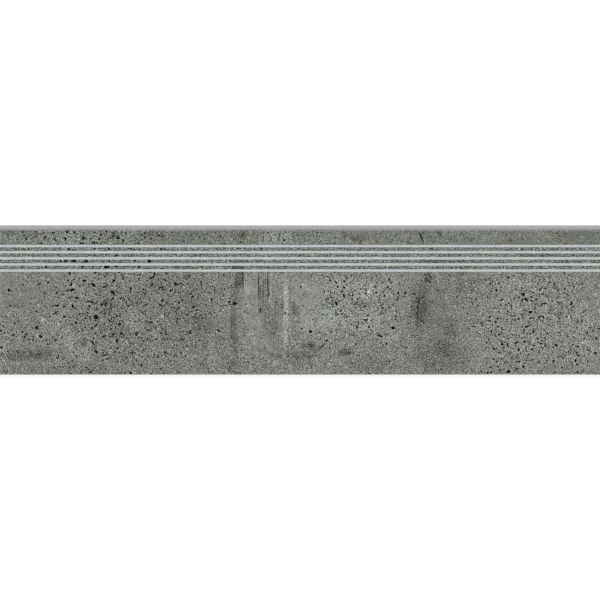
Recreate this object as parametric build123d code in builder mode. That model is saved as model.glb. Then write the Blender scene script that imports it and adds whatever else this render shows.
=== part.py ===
"""Porcelain stair-tread tile, lying face up.

One pressed and fired slab. The front edge is ground to a quarter-round nose, and five
anti-slip grooves are cut through the printed glaze behind it, over the whole length.
The other three edges are sawn square, with a fine ground bevel at the face. The back
has the shallow waffle of the press die, which keys it into the adhesive.

Millimetres. Origin: centre of the underside. +X runs along the tread, -Y faces the
person who climbs, +Z is up.
"""

import os

from build123d import *

# Slab
length = 1198.0
depth = 298.0
thickness = 10.0

# Front edge: a quarter round down to a narrow upright toe
nose_toe = 1.0
nose_radius = thickness - nose_toe

# Ground bevel between the face and the sawn edges
bevel = 0.6

# Anti-slip grooves, counted from the nose
groove_count = 5
first_groove = 41.4
groove_pitch = 12.2
groove_width = 5.0
groove_depth = 1.2
groove_root_radius = 0.8

# Waffle back: pressed pockets between ribs, inside a plain border
back_border = 14.0
back_rib = 5.0
pocket_spacing = 46.0
pocket_depth = 0.8
pocket_draft = 30.0
pocket_clipped_corner = 4.0

front_edge = -depth / 2
rear_edge = depth / 2


def even_count(span, spacing):
    """How many pockets fit the span at about this spacing: even, so a rib runs down the middle."""
    return 2 * max(1, round(span / spacing / 2))


waffle_length = length - 2 * back_border + back_rib
waffle_depth = depth - 2 * back_border + back_rib
pockets_along = even_count(waffle_length, pocket_spacing)
pockets_across = even_count(waffle_depth, pocket_spacing)
pitch_along = waffle_length / pockets_along
pitch_across = waffle_depth / pockets_across

with BuildPart() as step_tile:
    # Slab with its quarter-round nose, as one section run along the tread
    with BuildSketch(Plane.YZ) as slab_section:
        with BuildLine():
            sides = Polyline(
                (front_edge, thickness - nose_radius),
                (front_edge, 0),
                (rear_edge, 0),
                (rear_edge, thickness),
                (front_edge + nose_radius, thickness),
            )
            RadiusArc(sides @ 1, sides @ 0, -nose_radius)
        make_face()
    extrude(amount=length / 2, both=True)

    # Bevel of the rear edge, and of both ends from the rear corner round the nose to the floor
    end_outlines = step_tile.faces().filter_by(Axis.X).edges()
    end_bevels = end_outlines.filter_by_position(
        Axis.Z, 0, thickness, inclusive=(False, True)
    ).filter_by_position(Axis.Y, front_edge, rear_edge, inclusive=(True, False))
    rear_bevel = step_tile.faces().sort_by(Axis.Z)[-1].edges().sort_by(Axis.Y)[-1]
    chamfer(end_bevels + [rear_bevel], bevel)

    # Grooves, cut by a disc with rounded corners that runs out at both ends
    with BuildSketch(Plane.YZ) as groove_sections:
        groove_lines = [front_edge + first_groove + groove_pitch * i for i in range(groove_count)]
        with Locations(*[(line, thickness) for line in groove_lines]):
            Rectangle(groove_width, 2 * groove_depth)
        groove_roots = groove_sections.vertices().group_by(Axis.Y)[0]
        fillet(groove_roots, groove_root_radius)
    extrude(amount=length / 2, both=True, mode=Mode.SUBTRACT)

    # Waffle of the back, with the die's draft on every wall
    with BuildSketch() as waffle:
        with GridLocations(pitch_along, pitch_across, pockets_along, pockets_across):
            Rectangle(pitch_along - back_rib, pitch_across - back_rib)
        chamfer(waffle.vertices(), pocket_clipped_corner)
    extrude(amount=pocket_depth, taper=pocket_draft, mode=Mode.SUBTRACT)

step_tile.part.label = "step_tile"

os.makedirs("parts", exist_ok=True)
export_step(step_tile.part, "parts/step_tile.step")
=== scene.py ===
"""A porcelain stair-tread tile, face up on a pale floor, seen square from above with its nose
at the top of the picture. Metres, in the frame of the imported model; patterns are in millimetres.
"""

from functools import reduce
from math import cos, pi, radians, sin, sqrt, tan

import bmesh
import bpy
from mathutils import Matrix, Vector


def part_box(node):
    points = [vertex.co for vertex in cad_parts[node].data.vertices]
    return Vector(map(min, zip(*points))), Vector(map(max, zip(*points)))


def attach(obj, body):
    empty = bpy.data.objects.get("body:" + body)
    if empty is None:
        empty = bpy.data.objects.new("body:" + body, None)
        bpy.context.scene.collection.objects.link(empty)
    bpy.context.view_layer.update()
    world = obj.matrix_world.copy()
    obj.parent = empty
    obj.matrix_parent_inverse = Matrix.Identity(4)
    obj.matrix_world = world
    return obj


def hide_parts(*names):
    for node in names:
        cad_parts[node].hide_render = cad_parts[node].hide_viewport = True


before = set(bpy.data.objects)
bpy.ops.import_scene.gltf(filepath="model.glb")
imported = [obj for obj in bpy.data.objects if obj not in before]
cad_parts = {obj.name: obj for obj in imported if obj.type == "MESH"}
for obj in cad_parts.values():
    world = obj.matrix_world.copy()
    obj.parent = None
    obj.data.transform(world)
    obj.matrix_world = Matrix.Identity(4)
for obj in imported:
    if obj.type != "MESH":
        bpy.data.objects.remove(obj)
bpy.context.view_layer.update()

scene = bpy.context.scene
scene.view_settings.view_transform = "Standard"


# The tile: one slab of pale grey porcelain, pressed and fired in one piece. Its front edge is
# ground to a quarter round, and grooves are cut through the glaze over its whole length.
tile_low, tile_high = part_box("step_tile")
mm = 1000  # in a metre

nose_radius = 9 / mm
nose_segments = 24
ground_bevel = 0.6 / mm
groove_count = 5
first_groove = 41.4 / mm
groove_pitch = 12.2 / mm
groove_width = 5 / mm
groove_depth = 1.2 / mm
groove_root_radius = 0.8 / mm
groove_root_segments = 6
back_border = 14 / mm
back_rib = 5 / mm
pockets_along = 26
pockets_across = 6
pocket_depth = 0.8 / mm
pocket_draft = tan(radians(30))
pocket_clipped_corner = 4 / mm
worn_edge = 0.12 / mm
sharp_angle = radians(40)
smooth_angle = radians(20)
hair = 0.01 / mm  # nearer than this is the same place


def middle(part):
    """The middle of an edge or face of a mesh."""
    return sum((vert.co for vert in part.verts), Vector()) / len(part.verts)


def block(name, low, high):
    """A plain block between two corners, as the start of a piece, in edit mode."""
    bpy.ops.object.select_all(action="DESELECT")
    bpy.ops.mesh.primitive_cube_add(size=1, location=(low + high) / 2, scale=high - low)
    made = bpy.context.object
    made.name = name
    bpy.ops.object.transform_apply()
    bpy.ops.object.mode_set(mode="EDIT")
    bpy.ops.mesh.select_mode(type="EDGE")
    return made


def select_edges(piece, chosen):
    """Selects only those edges of the piece in edit mode that are chosen."""
    mesh = bmesh.from_edit_mesh(piece.data)
    for edge in mesh.edges:
        edge.select_set(chosen(edge))
    mesh.select_flush_mode()
    bmesh.update_edit_mesh(piece.data)


def add_modifier(piece, kind, **settings):
    """Adds a modifier with those settings and applies it."""
    modifier = piece.modifiers.new(kind.lower(), kind)
    for name, setting in settings.items():
        setattr(modifier, name, setting)
    bpy.context.view_layer.objects.active = piece
    bpy.ops.object.modifier_apply(modifier=modifier.name)


def repeat(piece, count, step):
    """Sets copies of a piece in a row, a step apart."""
    add_modifier(
        piece,
        "ARRAY",
        count=count,
        use_relative_offset=False,
        use_constant_offset=True,
        constant_offset_displace=step,
    )


def cut_away(piece, tool):
    """Cuts the tool's shape out of the piece, and puts the tool away."""
    add_modifier(piece, "BOOLEAN", operation="DIFFERENCE", solver="EXACT", object=tool)
    bpy.data.objects.remove(tool)


# Slab, then the quarter round of the nose
tread = block("tread_tile", tile_low, tile_high)
front_top = Vector((0, tile_low.y, tile_high.z))
select_edges(tread, lambda edge: (middle(edge) - front_top).length < hair)
bpy.ops.mesh.bevel(offset=nose_radius, segments=nose_segments, affect="EDGES")

# Ground bevel round both ends, from the rear corner over the nose to the floor, and at the rear
rear_top = Vector((0, tile_high.y, tile_high.z))


def ground(edge):
    """Whether the edge is one of those that are ground."""
    spot = middle(edge)
    if (spot - rear_top).length < hair:
        return True
    on_end = abs(spot.x) > tile_high.x - hair
    return on_end and spot.z > tile_low.z + hair and spot.y < tile_high.y - hair


select_edges(tread, ground)
bpy.ops.mesh.bevel(offset=ground_bevel, segments=1, affect="EDGES")
bpy.ops.object.mode_set(mode="OBJECT")

# Grooves: a disc with rounded corners cuts them, and runs out at both ends. The cutter is a tenth
# longer than the tile.
overrun = 1.1
groove_middle = tile_low.y + first_groove
cutter = block(
    "groove_cutter",
    Vector((tile_low.x * overrun, groove_middle - groove_width / 2, tile_high.z - groove_depth)),
    Vector((tile_high.x * overrun, groove_middle + groove_width / 2, tile_high.z + groove_depth)),
)
select_edges(cutter, lambda edge: abs(middle(edge).x) < hair and middle(edge).z < tile_high.z)
bpy.ops.mesh.bevel(offset=groove_root_radius, segments=groove_root_segments, affect="EDGES")
bpy.ops.object.mode_set(mode="OBJECT")
repeat(cutter, groove_count, (0, groove_pitch, 0))
cut_away(tread, cutter)

# Waffle of the back: pockets with clipped corners and drafted walls, pressed in by the die. The
# die starts a little below the tile, where its draft makes it that much wider.
waffle_low = tile_low + Vector((back_border - back_rib / 2, back_border - back_rib / 2, 0))
pitch_along = -2 * waffle_low.x / pockets_along
pitch_across = -2 * waffle_low.y / pockets_across
below = 0.2 / mm
spread = below * pocket_draft
rise_of_die = below + pocket_depth
bpy.ops.object.select_all(action="DESELECT")
bpy.ops.mesh.primitive_plane_add(
    size=1,
    location=(waffle_low.x + pitch_along / 2, waffle_low.y + pitch_across / 2, tile_low.z - below),
)
pocket = bpy.context.object
pocket.name = "pocket_die"
pocket.scale = (pitch_along - back_rib + 2 * spread, pitch_across - back_rib + 2 * spread, 1)
bpy.ops.object.transform_apply()
bpy.ops.object.mode_set(mode="EDIT")
bpy.ops.mesh.select_all(action="SELECT")
bpy.ops.mesh.bevel(
    offset=pocket_clipped_corner + spread * (2 - sqrt(2)),
    offset_type="ABSOLUTE",
    segments=1,
    affect="VERTICES",
)
bpy.ops.mesh.select_all(action="SELECT")
bpy.ops.mesh.extrude_region_move(TRANSFORM_OT_translate={"value": (0, 0, hair)})
bpy.ops.mesh.inset(thickness=rise_of_die * pocket_draft, depth=rise_of_die - hair)
bpy.ops.mesh.select_all(action="SELECT")
bpy.ops.mesh.normals_make_consistent(inside=False)
bpy.ops.object.mode_set(mode="OBJECT")
repeat(pocket, pockets_along, (pitch_along, 0, 0))
repeat(pocket, pockets_across, (0, pitch_across, 0))
cut_away(tread, pocket)

# Every sharp edge is a little blunt, as fired and ground porcelain is
add_modifier(
    tread, "BEVEL", width=worn_edge, segments=2, limit_method="ANGLE", angle_limit=sharp_angle
)
bpy.ops.object.select_all(action="DESELECT")
tread.select_set(True)
bpy.context.view_layer.objects.active = tread
bpy.ops.object.shade_smooth_by_angle(angle=smooth_angle)
add_modifier(tread, "WEIGHTED_NORMAL", keep_sharp=True)


class Wire:
    """One socket of a material. A sum or product of wires adds the Math nodes for it."""

    def __init__(self, tree, socket=None):
        self.tree = tree
        self.socket = socket

    def node(self, kind, settings=(), inputs=(), output=0):
        """Adds a node of any kind: its settings go in first, then its sockets' values or links."""
        made = self.tree.nodes.new("ShaderNode" + kind)
        for name, setting in dict(settings).items():
            setattr(made, name, setting)
        for name, value in dict(inputs).items():
            if isinstance(value, Wire):
                self.tree.links.new(value.socket, made.inputs[name])
            else:
                made.inputs[name].default_value = value
        return Wire(self.tree, made.outputs[output])

    def other(self, output):
        """Another output of the node that this wire leaves."""
        return Wire(self.tree, self.socket.node.outputs[output])

    def into(self, shader, name):
        """Leads this wire to a socket of a shader."""
        self.tree.links.new(self.socket, shader.inputs[name])

    def vector(self, operation, *operands, output="Vector"):
        """A Vector Math node on those operands."""
        return self.node("VectorMath", {"operation": operation}, dict(enumerate(operands)), output)

    def maths(self, operation, first, second):
        """A Math node on two values."""
        return self.node("Math", {"operation": operation}, {0: first, 1: second})

    def __add__(self, other):
        return self.maths("ADD", self, other)

    __radd__ = __add__

    def __sub__(self, other):
        return self.maths("SUBTRACT", self, other)

    def __rsub__(self, other):
        return self.maths("SUBTRACT", other, self)

    def __mul__(self, other):
        return self.maths("MULTIPLY", self, other)

    __rmul__ = __mul__

    def __truediv__(self, other):
        return self.maths("DIVIDE", self, other)

    def __pow__(self, other):
        return self.maths("POWER", self, other)


def least(values):
    """The least of some values, the first of which is a wire."""
    return reduce(lambda first, second: first.maths("MINIMUM", first, second), values)


def most(values):
    """The greatest of some values, the first of which is a wire."""
    return reduce(lambda first, second: first.maths("MAXIMUM", first, second), values)


def rise(value, low, high):
    """0 at low, 1 at high, and a smooth step between. It may also run down, with low the higher."""
    return value.node(
        "MapRange",
        {"interpolation_type": "SMOOTHSTEP"},
        {"Value": value, "From Min": low, "From Max": high},
    )


def noise(place, size, detail=0.0, roughness=0.5):
    """Soft noise about zero, with lumps of that size."""
    made = place.node(
        "TexNoise", (), {"Vector": place, "Scale": 1 / size, "Detail": detail, "Roughness": roughness}
    )
    return made - 0.5


def celled(place, size, output="Color"):
    """Cells of that size that lie at random. Each has a colour of its own, and a middle."""
    return place.node(
        "TexVoronoi", {"voronoi_dimensions": "2D"}, {"Vector": place, "Scale": 1 / size}, output
    )


def parted(colour):
    """The red of a colour, next to outputs for its green and its blue."""
    return colour.node("SeparateColor", (), {"Color": colour})


def stretched(place, by_along, by_back):
    """The place with its two directions scaled, so that lumps grow long in one of them."""
    return place.vector("MULTIPLY", place, (1 / by_along, 1 / by_back, 1))


def shaken(place, size, travel, detail=1.0):
    """The place moved about by noise, for outlines that aren't smooth."""
    push = place.node("TexNoise", (), {"Vector": place, "Scale": 1 / size, "Detail": detail}, "Color")
    push = push.vector("SUBTRACT", push, (0.5, 0.5, 0.5))
    return push.vector("MULTIPLY_ADD", push, (travel, travel, 0), place)


def turned(place, turn):
    """The place in axes that are turned by that many degrees."""
    if not turn:
        return place
    across, down = cos(radians(turn)), sin(radians(turn))
    first = place.vector("DOT_PRODUCT", place, (across, down, 0), output="Value")
    second = place.vector("DOT_PRODUCT", place, (-down, across, 0), output="Value")
    return place.node("CombineXYZ", (), {"X": first, "Y": second})


def by_turn(marks):
    """Marks in the order of their turn, so that few turned places are in use at a time."""
    return sorted(marks, key=lambda mark: mark[4])


def reaches(place, marks):
    """For each mark, how far a place is from its middle, as a share of the mark's half sizes."""
    axes = {}
    for mark_along, mark_back, half_length, half_width, turn, *_ in marks:
        if turn not in axes:
            axes[turn] = turned(place, turn)
        across, down = cos(radians(turn)), sin(radians(turn))
        centre = (across * mark_along + down * mark_back, across * mark_back - down * mark_along)
        local = place.vector(
            "MULTIPLY_ADD",
            axes[turn],
            (1 / half_length, 1 / half_width, 0),
            (-centre[0] / half_length, -centre[1] / half_width, 0),
        )
        yield local.vector("LENGTH", local, output="Value")


def nearest(place, marks):
    """The reach of the nearest of several marks."""
    return least(reaches(place, by_turn(marks)))


def toned(place, marks, rim, core):
    """The tone that all those marks add together: none outside the rim, all of it within the core."""
    total = 0
    marks = by_turn(marks)
    for far, (*_, tone) in zip(reaches(place, marks), marks):
        total = rise(far, rim, core) * tone + total
    return total


def grouped(name, place, build):
    """The value that build makes of a place, in a node group of its own."""
    tree = bpy.data.node_groups.new(name, "ShaderNodeTree")
    tree.interface.new_socket("Place", in_out="INPUT", socket_type="NodeSocketVector")
    tree.interface.new_socket("Value", in_out="OUTPUT", socket_type="NodeSocketFloat")
    made = build(Wire(tree, tree.nodes.new("NodeGroupInput").outputs[0]))
    tree.links.new(made.socket, tree.nodes.new("NodeGroupOutput").inputs[0])
    return place.node("Group", {"node_tree": tree}, {0: place})


def scattered(place, cell, share, half_length, slimness):
    """The reach of marks that lie in that share of the cells, one to a cell.

    Each has a turn of its own, and a size from about half to full.
    """
    full_turn = 6.3
    out_of_reach = 9
    cells = celled(place, cell, "Position")
    luck = parted(cells.other("Color"))
    local = place.vector("SUBTRACT", place, cells)
    local = local.node(
        "VectorRotate",
        {"rotation_type": "Z_AXIS"},
        {"Vector": local, "Angle": luck.other("Green") * full_turn},
    )
    local = local.vector("MULTIPLY", local, (1 / half_length, slimness / half_length, 0))
    far = local.vector("LENGTH", local, output="Value")
    size = luck.other("Blue") ** 2 * 0.6 + 0.45
    left_out = luck.maths("GREATER_THAN", luck, share)
    return far / size + left_out * out_of_reach


def tinted(lightness, tint):
    """A tint, made lighter or darker."""
    return lightness.node("VectorMath", {"operation": "SCALE"}, {0: tint, "Scale": lightness})


def mixed(factor, first, second):
    """One colour laid over another."""
    return factor.node("Mix", {"data_type": "RGBA"}, {0: factor, 6: first, 7: second}, 2)


def new_finish(name):
    """A new material with its shader, and the place on the object, in metres."""
    made = bpy.data.materials.new(name)
    made.use_nodes = True
    place = Wire(made.node_tree).node("TexCoord", output="Object")
    return made, made.node_tree.nodes["Principled BSDF"], place


def emboss(shader, height, depth):
    """Gives a shader a fine relief. It is a bump only."""
    bump = height.node("Bump", (), {"Height": height, "Distance": depth})
    bump.into(shader, "Normal")


# The print of the glaze. Places in it are millimetres along from the tile's left end in the
# picture, and millimetres back from the front edge.
glaze, glaze_shader, here = new_finish("printed_glaze")
place = here.node(
    "Mapping",
    (),
    {
        "Vector": here,
        "Location": (tile_high.x * mm, -tile_low.y * mm, 0),
        "Scale": (-mm, mm, 0),
    },
)
back = place.node("SeparateXYZ", (), {"Vector": place}, "Y")

# Soft clouds of the trowelled surface: along, back, half length, half width, turn, tone
clouds = (
    (60, 258, 62, 12, -1, -0.12),
    (40, 160, 36, 9, 5, -0.03),
    (116, 196, 16, 18, 30, 0.04),
    (140, 228, 22, 20, 45, 0.05),
    (168, 256, 24, 18, 30, 0.045),
    (216, 162, 24, 26, 0, -0.04),
    (186, 188, 10, 9, 0, -0.03),
    (236, 206, 26, 24, 0, -0.04),
    (334, 122, 34, 16, 0, -0.035),
    (388, 150, 12, 18, 10, -0.04),
    (392, 196, 11, 16, 0, -0.035),
    (404, 206, 22, 34, 0, -0.04),
    (266, 192, 18, 18, 0, 0.045),
    (420, 232, 9, 22, 0, 0.05),
    (424, 270, 12, 26, 0, 0.05),
    (366, 258, 20, 14, 0, 0.03),
    (300, 190, 190, 120, 0, -0.022),
    (390, 190, 80, 110, 0, -0.018),
    (600, 160, 190, 80, 0, 0.02),
    (838, 150, 18, 50, 0, -0.065),
    (590, 250, 60, 20, 0, -0.04),
    (100, 290, 120, 14, 0, -0.03),
    (546, 272, 14, 10, 0, 0.05),
    (600, 182, 120, 110, 0, 0.02),
    (620, 194, 36, 18, 0, 0.045),
    (664, 186, 30, 30, 0, 0.04),
    (734, 130, 30, 20, 0, 0.06),
    (780, 120, 22, 22, 0, 0.045),
    (736, 190, 30, 24, 0, 0.035),
    (784, 222, 16, 12, 0, 0.05),
    (618, 242, 26, 10, 20, -0.06),
    (686, 252, 24, 12, 0, -0.055),
    (596, 268, 30, 20, 0, -0.04),
    (740, 278, 60, 14, 0, -0.045),
    (854, 102, 11, 15, 0, -0.09),
    (836, 168, 13, 44, 0, -0.03),
    (834, 214, 10, 46, 0, -0.05),
    (898, 206, 13, 22, 12, -0.075),
    (884, 246, 18, 18, 30, -0.04),
    (880, 262, 60, 38, 0, -0.07),
    (880, 180, 60, 110, 0, -0.02),
    (918, 122, 10, 50, 0, -0.035),
    (1112, 124, 12, 10, 0, -0.05),
    (1060, 190, 150, 110, 0, 0.022),
    (1030, 166, 14, 12, 0, 0.03),
    (1168, 186, 14, 16, 0, 0.04),
    (1194, 166, 10, 14, 0, 0.05),
    (1172, 234, 14, 10, 0, 0.05),
    (850, 150, 46, 56, 0, -0.035),
    (950, 120, 40, 34, 0, -0.03),
    (756, 196, 42, 28, 0, 0.035),
    (1160, 270, 44, 26, 0, 0.02),
    (550, 184, 50, 44, 0, -0.05),
    (550, 24, 52, 20, 0, 0.07),
    (50, 26, 52, 18, 0, 0.03),
    (150, 32, 54, 14, 0, 0.065),
    (250, 16, 52, 10, 0, 0.05),
    (450, 16, 50, 9, 0, -0.03),
    (1150, 14, 52, 9, 0, -0.035),
)
# Drawn strokes of the trowel, scratches and the one long crack: the same sizes and tone
strokes = (
    (478, 106, 11, 30, 0, -0.12),
    (485, 100, 3.2, 28, 0, -0.12),
    (471, 132, 7, 32, 0, -0.08),
    (466, 180, 8, 60, 0, -0.07),
    (468, 240, 9, 80, 0, -0.06),
    (571, 180, 7, 82, 0, 0.085),
    (570, 192, 5, 46, 0, 0.04),
    (530, 190, 4, 50, 0, -0.03),
    (503, 176, 15, 100, 0, 0.03),
    (545, 204, 13, 56, 0, -0.035),
    (592, 196, 9, 50, 0, -0.045),
    (516.4, 120, 1.5, 34, 0, -0.28),
    (519.5, 134, 1.3, 22, 0, -0.2),
    (525.4, 130, 1.3, 36, 0, -0.22),
    (534.8, 118, 1.5, 40, 0, -0.34),
    (530, 112, 1.2, 18, 0, -0.14),
    (524, 138, 8, 26, -6, -0.06),
    (563, 158, 2.6, 15, 0, -0.14),
    (586, 164, 5, 14, 0, -0.1),
    (488.6, 112, 1.4, 28, 0, 0.14),
    (492.5, 118, 1.2, 34, 0, 0.1),
    (498, 108, 1.3, 20, 0, -0.06),
    (541, 150, 1.2, 60, 0, 0.05),
    (549, 128, 1.2, 40, 0, -0.05),
    (556, 160, 1.2, 70, 0, -0.04),
    (579, 146, 1.2, 46, 0, -0.06),
    (400, 250, 1.4, 16, 0, 0.1),
    (362, 138, 1.3, 14, 0, -0.18),
    (292, 126, 1.6, 16, 0, -0.16),
    (275, 160, 1.3, 9, 0, -0.2),
    (514, 24, 1.6, 14, 0, -0.12),
    (526, 26, 1.8, 14, 0, -0.14),
    (484, 20, 11, 9, 0, -0.11),
    (558, 22, 12, 1.7, 104, -0.26),
    (586, 22, 4, 12, 0, -0.1),
    (548, 26, 9, 1.2, 100, 0.08),
    (688, 20, 7, 9, 0, -0.1),
    (696, 28, 8, 1.2, 42, 0.12),
    (674, 30, 1.2, 9, 0, 0.1),
    (713, 25, 17, 11, 0, -0.07),
    (841, 24, 13, 2.0, 67, -0.34),
    (845, 14, 6, 1.6, -40, -0.24),
    (877, 17, 8, 3.2, 40, -0.16),
    (935, 28, 15, 5, 0, -0.08),
    (1018, 32, 8, 5, 0, -0.09),
    (1092, 21, 7, 1.2, 68, 0.16),
    (20, 14, 17, 5, 0, -0.07),
    (64, 20, 18, 8, 0, -0.04),
    (225, 18, 30, 9, 0, -0.05),
    (300, 16, 36, 9, 0, -0.06),
    (378, 20, 36, 12, 0, -0.05),
    (476, 84, 14, 5, 0, -0.12),
    (476, 71, 13, 5, 0, -0.08),
    (524, 83, 16, 4, 0, -0.09),
    (516, 71, 10, 4, 0, -0.06),
    (850, 72, 26, 5, 0, -0.07),
    (900, 72, 60, 5, 0, -0.04),
    (1080, 60, 50, 5, 0, -0.05),
    (833.5, 168.5, 22, 1.4, 96, -0.3),
    (835.6, 152, 6, 1.7, 96, -0.18),
    (833.5, 144.6, 5.4, 1.5, 0, -0.3),
    (830.4, 151.8, 4, 1.4, 0, -0.24),
    (843, 143.8, 8, 1.5, -35, -0.26),
    (857, 128.7, 9, 1.4, -59, -0.1),
    (858, 101, 8.4, 1.5, 57, -0.28),
    (852.6, 110.5, 8, 1.6, 45, -0.3),
    (643, 241, 10, 2.4, -45, -0.24),
    (623, 236, 10, 6, 20, -0.07),
    (620, 262, 8, 5, 0, -0.09),
    (690, 255, 14, 4.4, 0, -0.1),
    (690, 252, 20, 9, 0, -0.07),
    (616, 240, 16, 7, 15, -0.06),
    (848, 164, 9, 15, 0, -0.06),
    (622, 276, 8, 6, 0, -0.06),
    (734, 117, 6, 1.2, 10, -0.12),
    (222.5, 160.6, 2.6, 13, 0, -0.17),
    (223, 169, 3, 6, 0, -0.07),
    (232, 104, 6, 1.2, -55, -0.12),
    (190, 155, 6, 1.1, 25, -0.12),
    (153, 246.6, 4.4, 2.2, 45, -0.26),
    (253, 264.7, 3.2, 2.8, 20, -0.26),
    (146.4, 183.7, 3.0, 2.2, -40, -0.2),
    (224.3, 193, 3.0, 2.4, 0, -0.18),
    (346, 186.5, 5.4, 1.2, 32, -0.2),
    (331, 152.6, 4, 1.1, 40, -0.18),
    (394, 128, 5.4, 1.3, 10, -0.18),
    (425, 122.5, 4, 1.8, 0, -0.12),
    (504.7, 183.2, 3.6, 0.9, 35, -0.16),
    (331, 256, 5.4, 0.9, 60, -0.16),
    (407.3, 280.4, 1.3, 5.4, 0, -0.16),
    (458, 286, 3, 5, 30, -0.1),
    (444, 279, 4.4, 1.2, 10, -0.12),
    (210, 259, 8.5, 2.6, -18, -0.24),
    (43.7, 269, 3, 5.4, 0, -0.09),
    (91, 267, 1.4, 2.8, 0, -0.16),
    (31, 271, 2, 2, 0, -0.14),
    (13, 292, 4, 4, 0, -0.07),
    (28, 291, 3, 4, 0, -0.07),
    (42, 162, 12, 3.4, 0, -0.06),
    (274.7, 254.7, 2.4, 5, 0, 0.09),
    (282.5, 259, 1.8, 3.4, 0, 0.1),
    (343.8, 273.3, 3.2, 1.4, 60, 0.14),
    (1110, 125, 6, 2.4, -15, -0.13),
    (1071.3, 156.7, 4.4, 1.2, 0, -0.13),
    (1055.4, 232.3, 2.6, 3, 0, -0.18),
    (1042.6, 102, 1.2, 4.6, 0, -0.13),
    (1136.8, 266, 3.4, 1.6, 0, -0.13),
    (1143, 284, 1.4, 3.4, -20, -0.16),
    (1182, 293, 9, 3, 0, -0.09),
    (1177.4, 252, 1.8, 1.8, 0, 0.16),
    (1187, 246.3, 1.4, 1.8, 0, 0.12),
    (992.6, 250.8, 2.8, 1.2, 40, 0.1),
    (543, 258, 4, 4.4, 0, -0.12),
    (556, 261, 5, 3, 0, -0.1),
    (574, 258, 4, 8, 0, -0.08),
    (590, 263, 8, 5, 0, -0.08),
    (549, 275, 6, 5, 0, 0.07),
    (458, 284, 7, 5, 0, -0.08),
    (330, 240, 2, 9, 10, -0.08),
    (302, 205, 5, 2, 0, -0.1),
    (243, 214, 4, 3, 0, -0.1),
    (570, 208, 8, 26, 0, -0.02),
    (572, 140, 5, 30, 0, 0.06),
)
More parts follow.
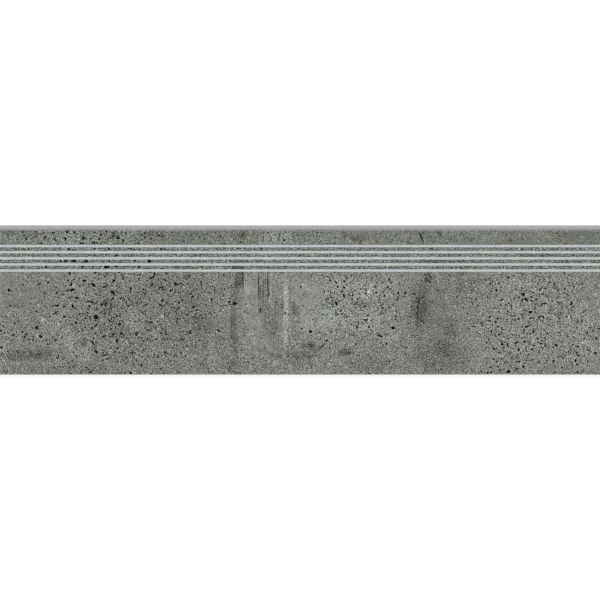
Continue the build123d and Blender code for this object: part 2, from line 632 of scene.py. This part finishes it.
# Single pits: along, back, half length, half width, turn
pits = (
    (19, 129.5, 2.4, 2.2, 20), (80, 117, 2.4, 1.2, -45), (97, 114, 2.0, 1.8, 0),
    (89, 135.5, 2.4, 1.3, -30), (114.5, 135, 1.3, 2.4, 0), (116, 160.7, 2.3, 1.5, 0),
    (105.5, 161, 1.9, 1.2, 30), (112, 174, 5.6, 1.1, -35), (140, 96, 1.9, 2.3, 0),
    (169, 110.8, 3.0, 1.9, 0), (142.5, 118.6, 1.8, 2.6, 15), (145, 128.6, 4.2, 2.0, -15),
    (148, 108.6, 1.9, 1.3, -10), (136, 131, 1.8, 1.3, 0), (154, 144.5, 3.0, 1.7, 10),
    (187.7, 119, 3.4, 2.2, 40), (209, 122.5, 2.6, 1.6, -20), (225.7, 133.6, 3.7, 2.3, 15),
    (228, 110.6, 2.4, 1.8, -20), (183.7, 152.5, 2.9, 1.4, 10), (145.8, 161, 1.8, 3.2, 0),
    (116.5, 160.5, 1.9, 1.5, 0), (211.7, 157, 2.0, 1.6, 0), (203, 159, 2.3, 1.4, 20),
    (210, 151, 2.2, 1.2, 20), (129.2, 182, 2.2, 2.0, 0), (192.4, 183, 4.0, 3.2, 30),
    (152.4, 194, 1.9, 2.5, -20), (239.4, 197, 2.6, 1.9, -15), (261.6, 127, 2.2, 1.5, -30),
    (303.4, 105.4, 4.2, 1.5, -32), (305.5, 116.7, 1.9, 1.5, 0), (318.3, 125, 1.3, 2.0, 10),
    (330, 109.2, 2.3, 1.3, 40), (352, 117, 3.4, 1.9, 25), (340.5, 130.6, 1.4, 2.3, 0),
    (357.6, 154.4, 1.5, 2.4, 20), (324, 150.7, 2.3, 1.4, 5), (384.8, 142.3, 2.7, 1.4, -50),
    (402, 115, 3.7, 1.1, 68), (386.3, 163.4, 2.4, 1.6, 10), (354.5, 186.3, 0.9, 2.7, 0),
    (458, 153.2, 2.0, 1.6, 50), (468.4, 155.7, 2.8, 2.8, 0), (423, 148.2, 1.5, 2.0, -30),
    (302, 193, 3.4, 1.5, 0), (489, 171.3, 1.1, 1.9, 30), (410, 185, 2.1, 1.0, -25),
    (74.7, 204, 1.9, 2.6, 0), (44.7, 212, 1.5, 1.8, 0), (28, 218, 2.0, 1.4, 0),
    (53, 217.2, 2.6, 1.4, 15), (81.8, 221.6, 3.0, 2.2, 45), (3.7, 243.4, 1.9, 2.1, 0),
    (1.5, 210.5, 2.3, 2.1, 0), (1, 197, 2.3, 1.3, 30), (77.2, 193.7, 1.9, 1.0, 0),
    (115.5, 264.6, 2.1, 1.4, 30), (137.3, 274.4, 2.5, 1.2, -50), (141.7, 295.5, 2.1, 1.1, 0),
    (181.6, 291.5, 3.9, 1.2, -30), (192.9, 252.4, 2.8, 2.0, 20), (147.3, 252.8, 1.7, 1.3, 0),
    (193.3, 198, 1.3, 1.8, -20), (183.5, 203.2, 2.3, 1.0, -50), (216.5, 201.8, 1.2, 1.7, 0),
    (185.4, 233.4, 1.7, 2.6, -30), (187, 226, 1.7, 1.3, -20), (221, 207.4, 2.1, 1.4, -15),
    (226.8, 217.6, 2.5, 1.5, -10), (234, 228, 1.7, 1.5, 0), (234, 232, 1.9, 1.7, 0),
    (235, 245.7, 1.9, 1.3, 0), (230, 252.6, 1.2, 2.1, 25), (272.8, 216.9, 1.5, 3.0, -15),
    (289.6, 204.8, 1.1, 1.7, 20), (265, 253.3, 1.3, 1.9, 0), (282.8, 279, 1.5, 2.6, 0),
    (266.8, 262.2, 2.1, 0.9, 0), (328.8, 227.6, 3.0, 1.1, 35), (323, 215.5, 2.3, 1.3, 20),
    (312.4, 226.5, 1.6, 1.5, 0), (315.6, 263.6, 1.9, 1.0, -20), (261.8, 294.7, 2.3, 1.8, 0),
    (302.7, 295.8, 1.7, 1.1, 0), (328.8, 295.8, 1.7, 1.0, 0), (380, 214.8, 3.4, 1.3, 8),
    (436.4, 210, 2.9, 1.7, 45), (659, 110, 1.7, 1.8, 0), (687, 124, 1.5, 1.8, 0),
    (653, 102.2, 2.1, 1.0, 0), (720, 127, 1.1, 1.8, 0), (682, 132.6, 2.4, 1.2, 20),
    (686.5, 140.7, 1.6, 2.8, -15), (702.7, 148, 2.3, 1.1, 50), (671.8, 156, 1.6, 3.8, -15),
    (677.7, 151, 2.5, 1.2, -20), (707, 158, 1.8, 1.1, 0), (728.7, 161.7, 2.3, 1.2, -30),
    (734.6, 179.4, 1.8, 1.5, -40), (735.8, 202.7, 1.6, 1.9, 0), (784.5, 204.6, 3.1, 2.3, 20),
    (776.7, 108, 1.3, 3.0, 15), (741.7, 109.5, 0.9, 1.9, 0), (774.5, 123.4, 1.5, 1.8, 0),
    (778.3, 127.2, 1.6, 1.2, 0), (794.4, 134.5, 1.9, 1.8, 0), (809, 134.8, 1.8, 2.2, 0),
    (767.6, 140.7, 1.8, 1.6, 0), (748.3, 122.6, 2.5, 1.2, -10), (797.6, 117, 3.3, 0.9, 55),
    (758.4, 154, 1.5, 0.9, 0), (692.7, 182, 2.5, 1.0, -50), (675.2, 177, 2.0, 1.3, -30),
    (660.3, 133, 0.9, 2.7, 0), (820, 181.6, 2.1, 1.0, 30), (603, 206, 1.8, 1.7, 0),
    (620, 212, 2.4, 2.2, 0), (759, 221, 3.8, 1.4, 20), (771, 236, 1.5, 2.2, 0),
    (652, 230, 1.8, 1.8, 0), (729.6, 194, 1.2, 1.0, 0), (1014.4, 104, 2.7, 1.4, 0),
    (995.8, 116, 2.0, 1.3, 0), (1044.5, 138, 2.0, 3.2, 0), (1077.5, 128, 2.1, 1.5, 0),
    (1091.3, 140.5, 1.1, 1.6, 0), (1063.8, 134.5, 2.4, 1.0, -15), (1059.4, 142.6, 2.0, 1.2, 20),
    (1051.3, 149.4, 2.9, 1.4, 20), (1059.4, 150, 1.6, 2.0, 0), (1003.3, 148, 1.0, 2.2, 0),
    (1087, 155.7, 4.1, 1.1, 4), (1058.5, 173, 3.5, 1.8, -5), (1097.6, 168.8, 1.0, 1.7, 0),
    (1095.3, 173.8, 1.3, 1.6, 0), (1013.3, 172, 1.4, 1.6, 0), (1013, 179, 1.0, 2.2, 0),
    (1026.4, 181, 1.9, 1.0, 0), (1027.4, 189.4, 1.6, 1.5, 0), (1034.5, 187, 1.7, 1.6, 0),
    (1058.2, 185.6, 1.9, 1.6, 0), (1075.7, 183, 2.6, 1.3, 0), (976.8, 191, 2.8, 1.2, 35),
    (988.9, 192.8, 2.0, 2.0, 0), (1000.8, 204.4, 2.3, 1.1, -50), (1051.3, 202, 3.8, 1.6, -15),
    (1140.6, 155, 1.7, 2.5, -20), (1145, 123, 1.1, 2.7, 0), (1096.6, 113.5, 3.0, 1.1, 0),
    (1068.8, 123, 2.0, 1.0, 0), (1163.7, 173.8, 1.1, 1.8, 0), (1030.7, 233.8, 3.8, 1.5, -35),
    (1046.6, 231.7, 1.4, 2.9, 10), (1001.4, 237, 2.1, 2.4, -20), (1013.2, 239, 1.3, 2.5, 0),
    (970.8, 234.5, 1.9, 1.2, 0), (985.4, 246.3, 2.4, 1.7, 30), (1034.8, 248.3, 1.6, 2.7, 0),
    (1049.4, 245.4, 1.0, 2.7, 0), (1061.3, 247.3, 1.6, 1.7, 0), (1065.3, 240, 2.4, 1.0, 0),
    (1086.9, 224.8, 2.7, 0.9, 30), (1004.9, 243.9, 1.8, 1.1, 0), (996, 218.3, 1.9, 1.3, 0),
    (1177.2, 203.8, 2.4, 1.0, 0), (1187.4, 254.8, 2.6, 1.6, 0), (1150.2, 253.8, 1.9, 1.1, 0),
    (1148.3, 270.4, 1.7, 2.0, 0), (1104.4, 270.4, 2.0, 1.6, 30), (1008.3, 273, 3.3, 1.1, -40),
    (984.5, 267, 2.0, 1.3, 0), (1044.5, 282, 2.2, 1.3, 0), (1014.5, 292, 3.4, 2.3, 0),
    (979.8, 293.3, 2.0, 1.8, 0), (973.3, 293.8, 1.6, 1.8, 0), (167, 26, 2.6, 2.0, 20),
    (131, 26, 2.0, 1.8, 0), (236, 25, 3.2, 2.0, 20), (164, 36, 4.0, 1.2, -6),
    (188, 35, 2.2, 1.6, 0), (202, 19, 1.9, 1.7, 0), (199, 28, 2.1, 1.4, 0), (227, 21, 1.9, 1.5, 0),
    (278, 36, 2.5, 1.3, 0), (302, 27, 1.9, 1.5, 0), (72, 13, 2.4, 1.3, 0), (84, 36, 2.0, 1.3, 0),
    (138, 48, 2.5, 1.7, 0), (189, 47, 1.7, 1.5, 0), (218, 47, 2.8, 1.5, 35), (263, 47, 1.5, 1.4, 0),
    (58, 48, 1.5, 1.4, 0), (322, 47, 1.8, 1.4, 0), (232, 60, 2.0, 1.1, 0), (122, 72, 2.1, 1.7, 0),
    (132, 71, 3.0, 2.1, 0), (148, 71, 3.4, 2.2, 10), (173, 71, 2.9, 2.2, 30),
    (299, 71, 2.6, 2.3, -20), (213, 83, 4.2, 1.9, 0), (232, 82, 3.2, 1.6, 20),
    (92, 83, 2.1, 1.6, -30),
)
# Small round pits: along, back, radius
small_pits = (
    (25, 131.5, 1.3), (47, 118, 1.3), (112.7, 124, 1.4), (131.7, 121, 1.3), (137.3, 110.3, 1.4),
    (74.3, 172, 1.4), (130, 161.7, 1.4), (133.6, 157.6, 1.3), (12.5, 182, 1.3), (124.8, 137.6, 1.3),
    (135.5, 130.5, 1.4), (57, 102.6, 1.1), (51, 172, 1.0), (90.5, 143.8, 1.0), (126.7, 115.5, 1.1),
    (102.4, 126, 0.9), (113.8, 135, 1.2), (160.4, 119.6, 1.3), (214.3, 119.2, 1.4),
    (226.3, 145.8, 1.6), (233.6, 181, 1.7), (160.4, 176.5, 1.5), (171.7, 185.7, 1.4),
    (179, 161, 1.6), (175, 174.5, 1.2), (286.9, 127.8, 1.4), (284.9, 173.7, 1.4), (191, 95, 1.7),
    (237.6, 94.8, 1.5), (214.3, 98, 1.3), (308.2, 97.6, 1.5), (257, 160.5, 1.7), (173.7, 103, 1.2),
    (344.7, 128, 1.2), (358.6, 134, 1.4), (361, 143, 1.3), (364.2, 149.7, 1.5), (346.4, 102, 1.1),
    (378, 104, 1.3), (332.6, 98.2, 1.0), (376.3, 136, 1.1), (393, 169, 1.6), (398.2, 169.4, 1.0),
    (391, 176.7, 1.4), (374.5, 178.8, 1.5), (387, 182, 0.9), (391.5, 182, 1.0), (410.4, 178.8, 1.1),
    (447, 99, 1.5), (448.7, 127.4, 1.5), (443.7, 148, 1.1), (412.2, 158.5, 1.2), (443, 161.7, 1.2),
    (479, 116.6, 1.4), (322.3, 166.3, 1.1), (324.3, 206.3, 1.1), (8, 201, 1.4), (10, 214, 1.2),
    (34, 214, 1.1), (66.8, 229.5, 1.3), (123.8, 224, 1.3), (112.4, 228.7, 1.5), (124.6, 237.4, 1.2),
    (96, 237.4, 1.3), (17, 252, 1.3), (166, 209.7, 1.5), (156, 212, 1.2), (153.6, 261.5, 1.3),
    (144.8, 272, 1.1), (172.9, 284, 1.4), (211, 286.5, 1.3), (162.3, 294, 1.3), (207, 221.6, 1.5),
    (284.5, 216.5, 1.2), (295, 210.5, 1.1), (278, 223, 1.4), (284.3, 262, 1.3), (295.3, 227, 1.3),
    (286.7, 230.5, 1.3), (250.4, 275.7, 1.3), (316, 260.2, 1.2), (308, 258.7, 1.2),
    (324.5, 206, 1.1), (320.3, 285.7, 1.2), (250.7, 294.4, 1.3), (412.6, 259.7, 1.1),
    (456.2, 274, 1.1), (674, 122.2, 1.6), (687, 112, 1.6), (693, 104.5, 1.4), (702, 100, 1.5),
    (704, 140, 1.5), (664, 151, 1.2), (664, 158, 1.3), (710.2, 153.8, 1.1), (715.8, 196, 1.3),
    (702, 198.4, 1.2), (713, 203.7, 1.5), (731.7, 112, 0.9), (774.2, 132.2, 1.4), (751, 133.8, 1.6),
    (758.3, 147.8, 1.3), (764, 165, 1.5), (764, 157, 1.1), (758, 140, 1.1), (826, 137, 1.5),
    (792.6, 149.7, 1.4), (682, 177, 1.3), (765.8, 193.8, 1.1), (845.7, 194, 1.3), (822, 162.2, 1.2),
    (718, 136.3, 1.1), (643.4, 178, 1.2), (736, 202, 1.3), (978, 116.4, 1.5), (1083.2, 136.3, 1.3),
    (1047.6, 145.7, 1.3), (1035.7, 144.7, 1.3), (1015.5, 155, 1.3), (1026.4, 146.3, 1.3),
    (1009.5, 158.2, 1.3), (999.5, 158.8, 1.2), (1020.7, 161.7, 1.3), (1084, 183.4, 1.5),
    (978, 182.5, 1.5), (993, 186.3, 1.5), (1121.2, 155, 1.2), (1131.2, 137.6, 1.3),
    (1073.5, 116.6, 1.2), (1153, 192, 1.4), (1168, 169.4, 1.3), (1131.2, 182, 1.2),
    (1138.7, 182.2, 1.1), (1117, 180, 1.0), (1162, 116.6, 1.4), (1137.5, 158.8, 1.2),
    (1045.7, 209.6, 1.4), (1063.8, 211.2, 1.5), (1095.7, 104.5, 1.3), (1080.7, 103, 1.2),
    (1127, 127, 1.3), (1001.8, 214, 1.2), (1017.4, 211, 1.3), (1003.5, 248, 1.0),
    (1081, 229.8, 1.3), (1078.5, 235.8, 1.4), (974.5, 228, 1.0), (1143, 238.5, 1.5),
    (1153.3, 242.3, 1.6), (1149, 241.3, 0.9), (1172.8, 248, 1.3), (1171.2, 214.8, 1.5),
    (1195, 206, 1.5), (1155, 259.7, 1.3), (1120, 262, 1.3), (1123, 265.4, 1.3),
    (1151.2, 277.5, 1.6), (1117, 214.2, 1.2), (991, 271.6, 1.2), (993.5, 282, 1.2),
    (1037.3, 271.6, 1.5), (1031.4, 286.7, 1.6), (1121.2, 284, 1.4), (1153.3, 294.2, 1.4),
    (1107, 292.3, 1.3), (1141.2, 274.2, 1.2), (1005.5, 287, 1.2), (997.6, 288, 1.2),
    (1125.7, 250.4, 1.1), (1133.3, 222.4, 1.2), (1073.2, 289.8, 1.2), (980, 283.5, 1.2),
    (53, 28, 1.6), (92, 24, 1.4), (106, 15, 1.6), (134, 13, 1.8), (150, 14, 1.5), (213, 12, 1.6),
    (252, 16, 1.5), (290, 16, 1.5), (318, 20, 1.5), (246, 30, 1.4), (112, 30, 1.4), (480, 34, 1.5),
    (165, 83, 1.7), (278, 83, 1.7),
)
# Pale grains in the print: along, back, half length, half width, turn
specks = (
    (324, 183, 4.0, 2.2, 10), (497, 218, 2.0, 2.0, 0), (390, 261, 2.2, 2.0, 0),
    (87, 188, 3.0, 2.8, 0), (118, 196, 2.0, 2.0, 0), (383, 225, 2.0, 1.6, 0),
    (735, 131, 3.4, 4.0, 0), (660, 181, 3.0, 2.6, 0), (757, 240, 2.2, 1.8, 0),
    (729, 186, 2.6, 2.4, 0), (1089, 163, 2.0, 3.6, 0), (966, 164, 2.0, 2.4, 0),
    (958, 213, 3.0, 1.8, 20), (1003, 262, 2.0, 2.0, 0), (1163, 235, 2.2, 2.2, 0),
    (905, 181, 2.0, 2.0, 0),
)
# Rings left by burst bubbles: the same sizes, out to the middle of the line
rings = (
    (162.5, 235.5, 7, 7.4, 0), (169, 233, 4.6, 6, 0), (283, 139, 8, 8, 0), (658, 149, 7, 6, 0),
    (270, 152, 6, 9, 20), (438, 132, 4.4, 4.4, 0), (1024.5, 185, 3.6, 5, 0),
)
# Where pits lie thick: along, back, half length, half width, turn, added share
pitted = (
    (280, 170, 180, 130, 0, 0.3),
    (200, 150, 80, 80, 0, 0.12),
    (700, 160, 100, 80, 0, 0.22),
    (1050, 190, 130, 110, 0, 0.24),
    (1080, 150, 70, 50, 0, 0.1),
    (1160, 240, 60, 60, 0, 0.12),
    (60, 200, 60, 60, 0, 0.06),
    (170, 20, 150, 30, 0, 0.24),
)
# Where the trowel left the surface smooth: the same sizes, without a share
smoothed = (
    (528, 150, 66, 130, 0),
    (34, 130, 62, 44, 0),
    (620, 150, 36, 60, 0),
    (874, 170, 34, 66, 0),
    (920, 30, 300, 30, 0),
)

# The crumbs of the print, each with a colour of its own, which also makes the outlines crumbly
crumb_width = 1.35
crumb_push = 1.7
crumbs = celled(place, crumb_width)
crumbled = crumbs.vector("SUBTRACT", crumbs, (0.5, 0.5, 0))
crumbled = crumbled.vector("MULTIPLY_ADD", crumbled, (crumb_push, crumb_push, 0), place)

soft_place = shaken(place, size=34, travel=22, detail=3.0)
drawn_place = shaken(place, size=22, travel=3.2, detail=2.0)
rough_place = shaken(crumbled, size=3.6, travel=3.2)

# The shade of the print: mottling of three sizes, then the clouds and the strokes
shade = noise(place, size=80, detail=4.0, roughness=0.6) * 0.09
shade = shade + noise(place, size=15, detail=2.0, roughness=0.6) * 0.17
shade = shade + noise(place, size=11, detail=1.0) * 0.08
shade = shade + grouped("clouds", soft_place, lambda spot: toned(spot, clouds, rim=1.35, core=0.3))
shade = shade + grouped("strokes", drawn_place, lambda spot: toned(spot, strokes, rim=1.2, core=0.4))

# Fine lines that the trowel left between the two dark streaks and the pale one
brushed = rise(nearest(soft_place, smoothed[:1]), 1.2, 0.7)
brush_lines = noise(stretched(drawn_place, 1, 14), size=2.6, detail=1.0) * 0.24
shade = shade + brush_lines * brushed

# How thick the pits lie: a little everywhere, and more in the pitted parts
share = toned(soft_place, pitted, rim=1.2, core=0.4) + 0.05

# The strip in front of the first groove, and the lands between the grooves, with soft edges
soft_edge = 1
first_line = first_groove * mm
line_pitch = groove_pitch * mm
line_half = groove_width * mm / 2
last_line = first_line + (groove_count - 1) * line_pitch
in_front = rise(back, first_line + soft_edge, first_line - soft_edge)
grooved = rise(back, first_line - line_pitch / 2, first_line - line_pitch / 2 + soft_edge)
grooved = grooved * rise(back, last_line + line_pitch / 2 + soft_edge, last_line + line_pitch / 2)
in_lands = grooved * (1 - in_front) * rise(back, last_line + soft_edge, last_line)

# The grain. It is stronger where pits lie thick and on the lands, and weaker where the trowel
# smoothed it. Its dark side is stronger than its pale side.
grain_turn = 33
grain_size = 2.15
dark_side = 1.3
grain = noise(turned(place, grain_turn), grain_size)
grain = grain + (parted(crumbs) - 0.5) * 0.14
grain = grain + noise(stretched(place, 1.8, 1), 2.6) * in_lands * 0.5
coarseness = noise(place, size=30, detail=2.0) * 0.9 + 0.98
grain = grain * (coarseness + share * 0.3) * (in_lands * 0.4 + 1)
smooth = rise(nearest(soft_place, smoothed), 1.2, 0.6)
grain = grain * (1 - smooth * 0.42)
grain = grain - grain * grain * dark_side

# Chips of the print: a few are pale flecks, and others are among the dark specks below
chip_turn = 20
chip_width = 2.2
chips = parted(celled(turned(shaken(place, size=2.0, travel=0.8), chip_turn), chip_width))
pale_flecks = rise(chips.other("Green"), 0.955, 0.98)

# Pits: the listed ones, and others strewn between them in three sizes. The reaches of the listed ones
# are scaled down, so that they come out wider than their listed sizes.
pit_edge = 1.15
pit_reach = 0.77
small_pit_reach = 0.93
round_pits = [(*spot, radius, radius, 0) for *spot, radius in small_pits]
pit_place = shaken(place, size=3.0, travel=1.7, detail=2.0)
drawn_pit = grouped("pits", pit_place, lambda spot: nearest(spot, pits))
small_pit = grouped("small_pits", pit_place, lambda spot: nearest(spot, round_pits))
drawn_pit = least((drawn_pit, small_pit * small_pit_reach)) * pit_reach
pit = scattered(rough_place, cell=27.0, share=share * 0.15, half_length=4.4, slimness=1.7)
for cell, chance, half_length, slimness in (
    (10.0, share * 0.3, 3.0, 1.6),
    (4.2, share * 0.8 + 0.04, 1.9, 1.3),
):
    pit = least((pit, scattered(rough_place, cell, chance, half_length, slimness)))
strength = noise(place, size=6, detail=1.0) * 1.6 + 0.95
hollow = rise(pit, pit_edge, 0.95) * least((strength, 1))
hollow = most((hollow, rise(drawn_pit, pit_edge, 0.97)))
pit = least((pit, drawn_pit))
rim = most((rise(pit, 2.2, 1.3) - hollow, 0))
fleck_share = share * 0.14 + 0.012
flecks = rise(chips.other("Blue"), fleck_share, fleck_share - 0.01)
hollow = most((hollow, flecks))

# Pale grains, and the rings left by bubbles
bright = rise(nearest(rough_place, specks), 1.25, 0.6)
ringed = most(
    rise(far.node("Math", {"operation": "ABSOLUTE"}, {0: far - 1}), 0.24, 0.08)
    for far in reaches(rough_place, rings)
)

# The tone as it looks, with a touch of dark at the cut lips of the grooves
base_tone = 0.51
darkest_tone = 0.03
tone = base_tone + shade + grain + share * 0.06 + rim * 0.05 + pale_flecks * 0.2 - ringed * 0.16
tone = tone - hollow * tone
tone = tone + bright * 0.22
from_groove = back.node("Math", {"operation": "PINGPONG"}, {0: back - first_line, 1: line_pitch / 2})
lip = rise(from_groove, line_half + 1.8, line_half + 0.4)
tone = tone - lip * grooved * 0.05
tone = tone - rise(back, last_line + line_half + soft_edge, last_line + line_half) * 0.03
lightness = most((tone, darkest_tone)) ** 2.2

# The tint drifts towards warm in front of the grooves and towards cool on the lands
plain_tint = (0.942, 1.0, 0.876)
front_tint = (0.927, 1.0, 0.885)
warm_tint = (0.945, 1.0, 0.825)
cool_tint = (0.92, 1.0, 1.02)
land_tint = (0.94, 1.0, 0.9)
print_colour = tinted(lightness, plain_tint)
drift = rise(noise(place, size=60, detail=2.0), -0.06, 0.12)
front_colour = mixed(drift, tinted(lightness, front_tint), tinted(lightness, warm_tint))
land_drift = rise(noise(stretched(place, 5, 1), 12, 2.0), -0.1, 0.16)
land_colour = mixed(land_drift, tinted(lightness, land_tint), tinted(lightness, cool_tint))
print_colour = mixed(in_front, print_colour, front_colour)
print_colour = mixed(in_lands, print_colour, land_colour)

# The glaze is ground off the nose, and the pale body shows through it. The band is tinted darker than
# the cut body: painted shade of the sloping nose.
print_starts = 3.8
print_is_full = 13.4
shaded_nose_tint = (0.408, 0.418, 0.444)
shaded_band_colour = tinted(noise(place, size=5, detail=3.0) * 0.36 + 1, shaded_nose_tint)
band_fade = rise(back + noise(place, size=5, detail=2.0) * 1.5, print_is_full, print_starts)
mixed(band_fade, print_colour, shaded_band_colour).into(glaze_shader, "Base Color")
sheen = noise(place, size=7, detail=2.0) * 0.3 + 0.62
sheen.into(glaze_shader, "Roughness")
glaze_shader.inputs["Specular IOR Level"].default_value = 0.12
emboss(glaze_shader, noise(here, size=2.4 / mm, detail=2.0), depth=0.04 / mm)

# The body of the tile where it is cut: the grooves, the sawn edges and their ground bevels
cut, cut_shader, here = new_finish("cut_porcelain")
spot = here.node("VectorMath", {"operation": "SCALE"}, {0: here, "Scale": mm})
body_tone = noise(spot, 4.0, 2.0) * 0.12 + 1
body_grain = rise(noise(spot, 0.7, 1.0), 0.14, 0.24) * 0.25
saw_lines = noise(stretched(spot, 60, 1), size=0.35, detail=2.0)
body_tone = body_tone + saw_lines * 0.16 - body_grain + noise(stretched(spot, 3, 1), 7, 2.0) * 0.34
body_drift = rise(noise(stretched(spot, 4, 1), 16, 2.0), -0.1, 0.1)
body_tint = (0.585, 0.618, 0.585)
cool_body_tint = (0.58, 0.6, 0.628)
body_colour = mixed(body_drift, tinted(body_tone, body_tint), tinted(body_tone, cool_body_tint))
body_colour.into(cut_shader, "Base Color")
cut_shader.inputs["Roughness"].default_value = 0.7
cut_shader.inputs["Specular IOR Level"].default_value = 0.3
emboss(cut_shader, saw_lines, depth=0.02 / mm)

# The back as it left the kiln: bare body, with a chalky wash on the ribs that touched the rollers
pressed, pressed_shader, here = new_finish("pressed_back")
spot = here.node("VectorMath", {"operation": "SCALE"}, {0: here, "Scale": mm})
height = spot.node("SeparateXYZ", (), {"Vector": spot}, "Z")
wash = rise(height + noise(spot, 9, 3.0) * 0.5, 0.34, 0.05)
wash = wash * (noise(stretched(spot, 9, 1), 7, 2.0) * 0.9 + 0.75)
pressed_tone = noise(spot, 30, 4.0, 0.6) * 0.16 + noise(spot, 1.6, 2.0) * 0.14 + 1
bare_tint = (0.42, 0.415, 0.39)
wash_tint = (0.68, 0.68, 0.66)
pressed_colour = mixed(wash, tinted(pressed_tone, bare_tint), tinted(pressed_tone, wash_tint))
pressed_colour.into(pressed_shader, "Base Color")
pressed_shader.inputs["Roughness"].default_value = 0.85
pressed_shader.inputs["Specular IOR Level"].default_value = 0.25
emboss(pressed_shader, noise(spot, size=1.1, detail=2.0), depth=0.06 / mm)

# Each face takes the finish of the work that was last done on it
finishes = (glaze, cut, pressed)
for finish in finishes:
    tread.data.materials.append(finish)
groove_front = tile_low.y + first_groove - groove_pitch / 2
groove_rear = groove_front + groove_count * groove_pitch
border = 1 / mm
for face in tread.data.polygons:
    spot = face.center
    inside = abs(spot.x) < tile_high.x - border and abs(spot.y) < tile_high.y - border
    in_back = inside and spot.z < tile_low.z + 2 * pocket_depth
    on_side = abs(face.normal.x) > 0.3 or face.normal.y > 0.3
    in_groove = groove_front < spot.y < groove_rear and face.normal.z < 0.99
    sunk = spot.y > groove_front and spot.z < tile_high.z - groove_depth / 2
    if face.normal.z < -0.9 or in_back:
        face.material_index = finishes.index(pressed)
    elif on_side or in_groove or sunk:
        face.material_index = finishes.index(cut)
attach(tread, "root")
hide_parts("step_tile")


# The floor: plain and pale, just below the tile so that their faces don't coincide. It is white
# to the camera and still takes the tile's shadow.
floor_width = 30
floor_gap = 0.1 / mm
floor_glow = 0.35
bpy.ops.object.select_all(action="DESELECT")
bpy.ops.mesh.primitive_plane_add(size=floor_width, location=(0, 0, tile_low.z - floor_gap))
floor = bpy.context.object
floor.name = "floor"
floor_finish = bpy.data.materials.new("pale_floor")
floor_finish.use_nodes = True
floor_tree = floor_finish.node_tree
floor_shader = floor_tree.nodes["Principled BSDF"]
floor_shader.inputs["Base Color"].default_value = (0.8, 0.8, 0.8, 1)
floor_shader.inputs["Roughness"].default_value = 0.9
floor_shader.inputs["Specular IOR Level"].default_value = 0
floor_shader.inputs["Emission Color"].default_value = (1, 1, 1, 1)


def seen_directly(tree):
    """1 for the rays that the camera, a reflection or a clear surface sees by, and 0 for light."""
    rays = Wire(tree).node("LightPath", output="Is Camera Ray")
    return most((rays, rays.other("Is Glossy Ray"), rays.other("Is Transmission Ray")))


glow = seen_directly(floor_tree) * floor_glow
glow.into(floor_shader, "Emission Strength")
floor.data.materials.append(floor_finish)

# Light: an even studio dome, a large soft box overhead and another in front of the nose.
world = bpy.data.worlds.new("studio")
scene.world = world
world.use_nodes = True
backdrop = world.node_tree.nodes["Background"]
backdrop.inputs["Color"].default_value = (1, 1, 1, 1)
dome_strength = 0.72
shown = seen_directly(world.node_tree) * (1 - dome_strength) + dome_strength
shown.into(backdrop, "Strength")


def soft_box(name, position, size, power):
    """A square area light that faces the middle of the tile."""
    lamp = bpy.data.lights.new(name, "AREA")
    lamp.size = size
    lamp.energy = power
    box = bpy.data.objects.new(name, lamp)
    box.location = position
    box.rotation_mode = "QUATERNION"
    box.rotation_quaternion = (-box.location).to_track_quat("-Z", "Y")
    scene.collection.objects.link(box)


soft_box("overhead_box", position=(0, 0, 4.0), size=2.5, power=22)
soft_box("front_box", position=(0, -3.0, 3.0), size=2.0, power=28)

# Camera: square above the tile, its top towards the nose, framed 1 mm inside the tile's ends.
end_margin = 1 / mm
camera_data = bpy.data.cameras.new("camera")
camera_data.lens = 200
camera_data.clip_end = 100
camera = bpy.data.objects.new("camera", camera_data)
scene.collection.objects.link(camera)
scene.camera = camera
framed_length = tile_high.x - tile_low.x - 2 * end_margin
camera_rise = framed_length * camera_data.lens / camera_data.sensor_width
camera.location = (0, 0, tile_high.z + camera_rise)
camera.rotation_euler = (0, 0, pi)
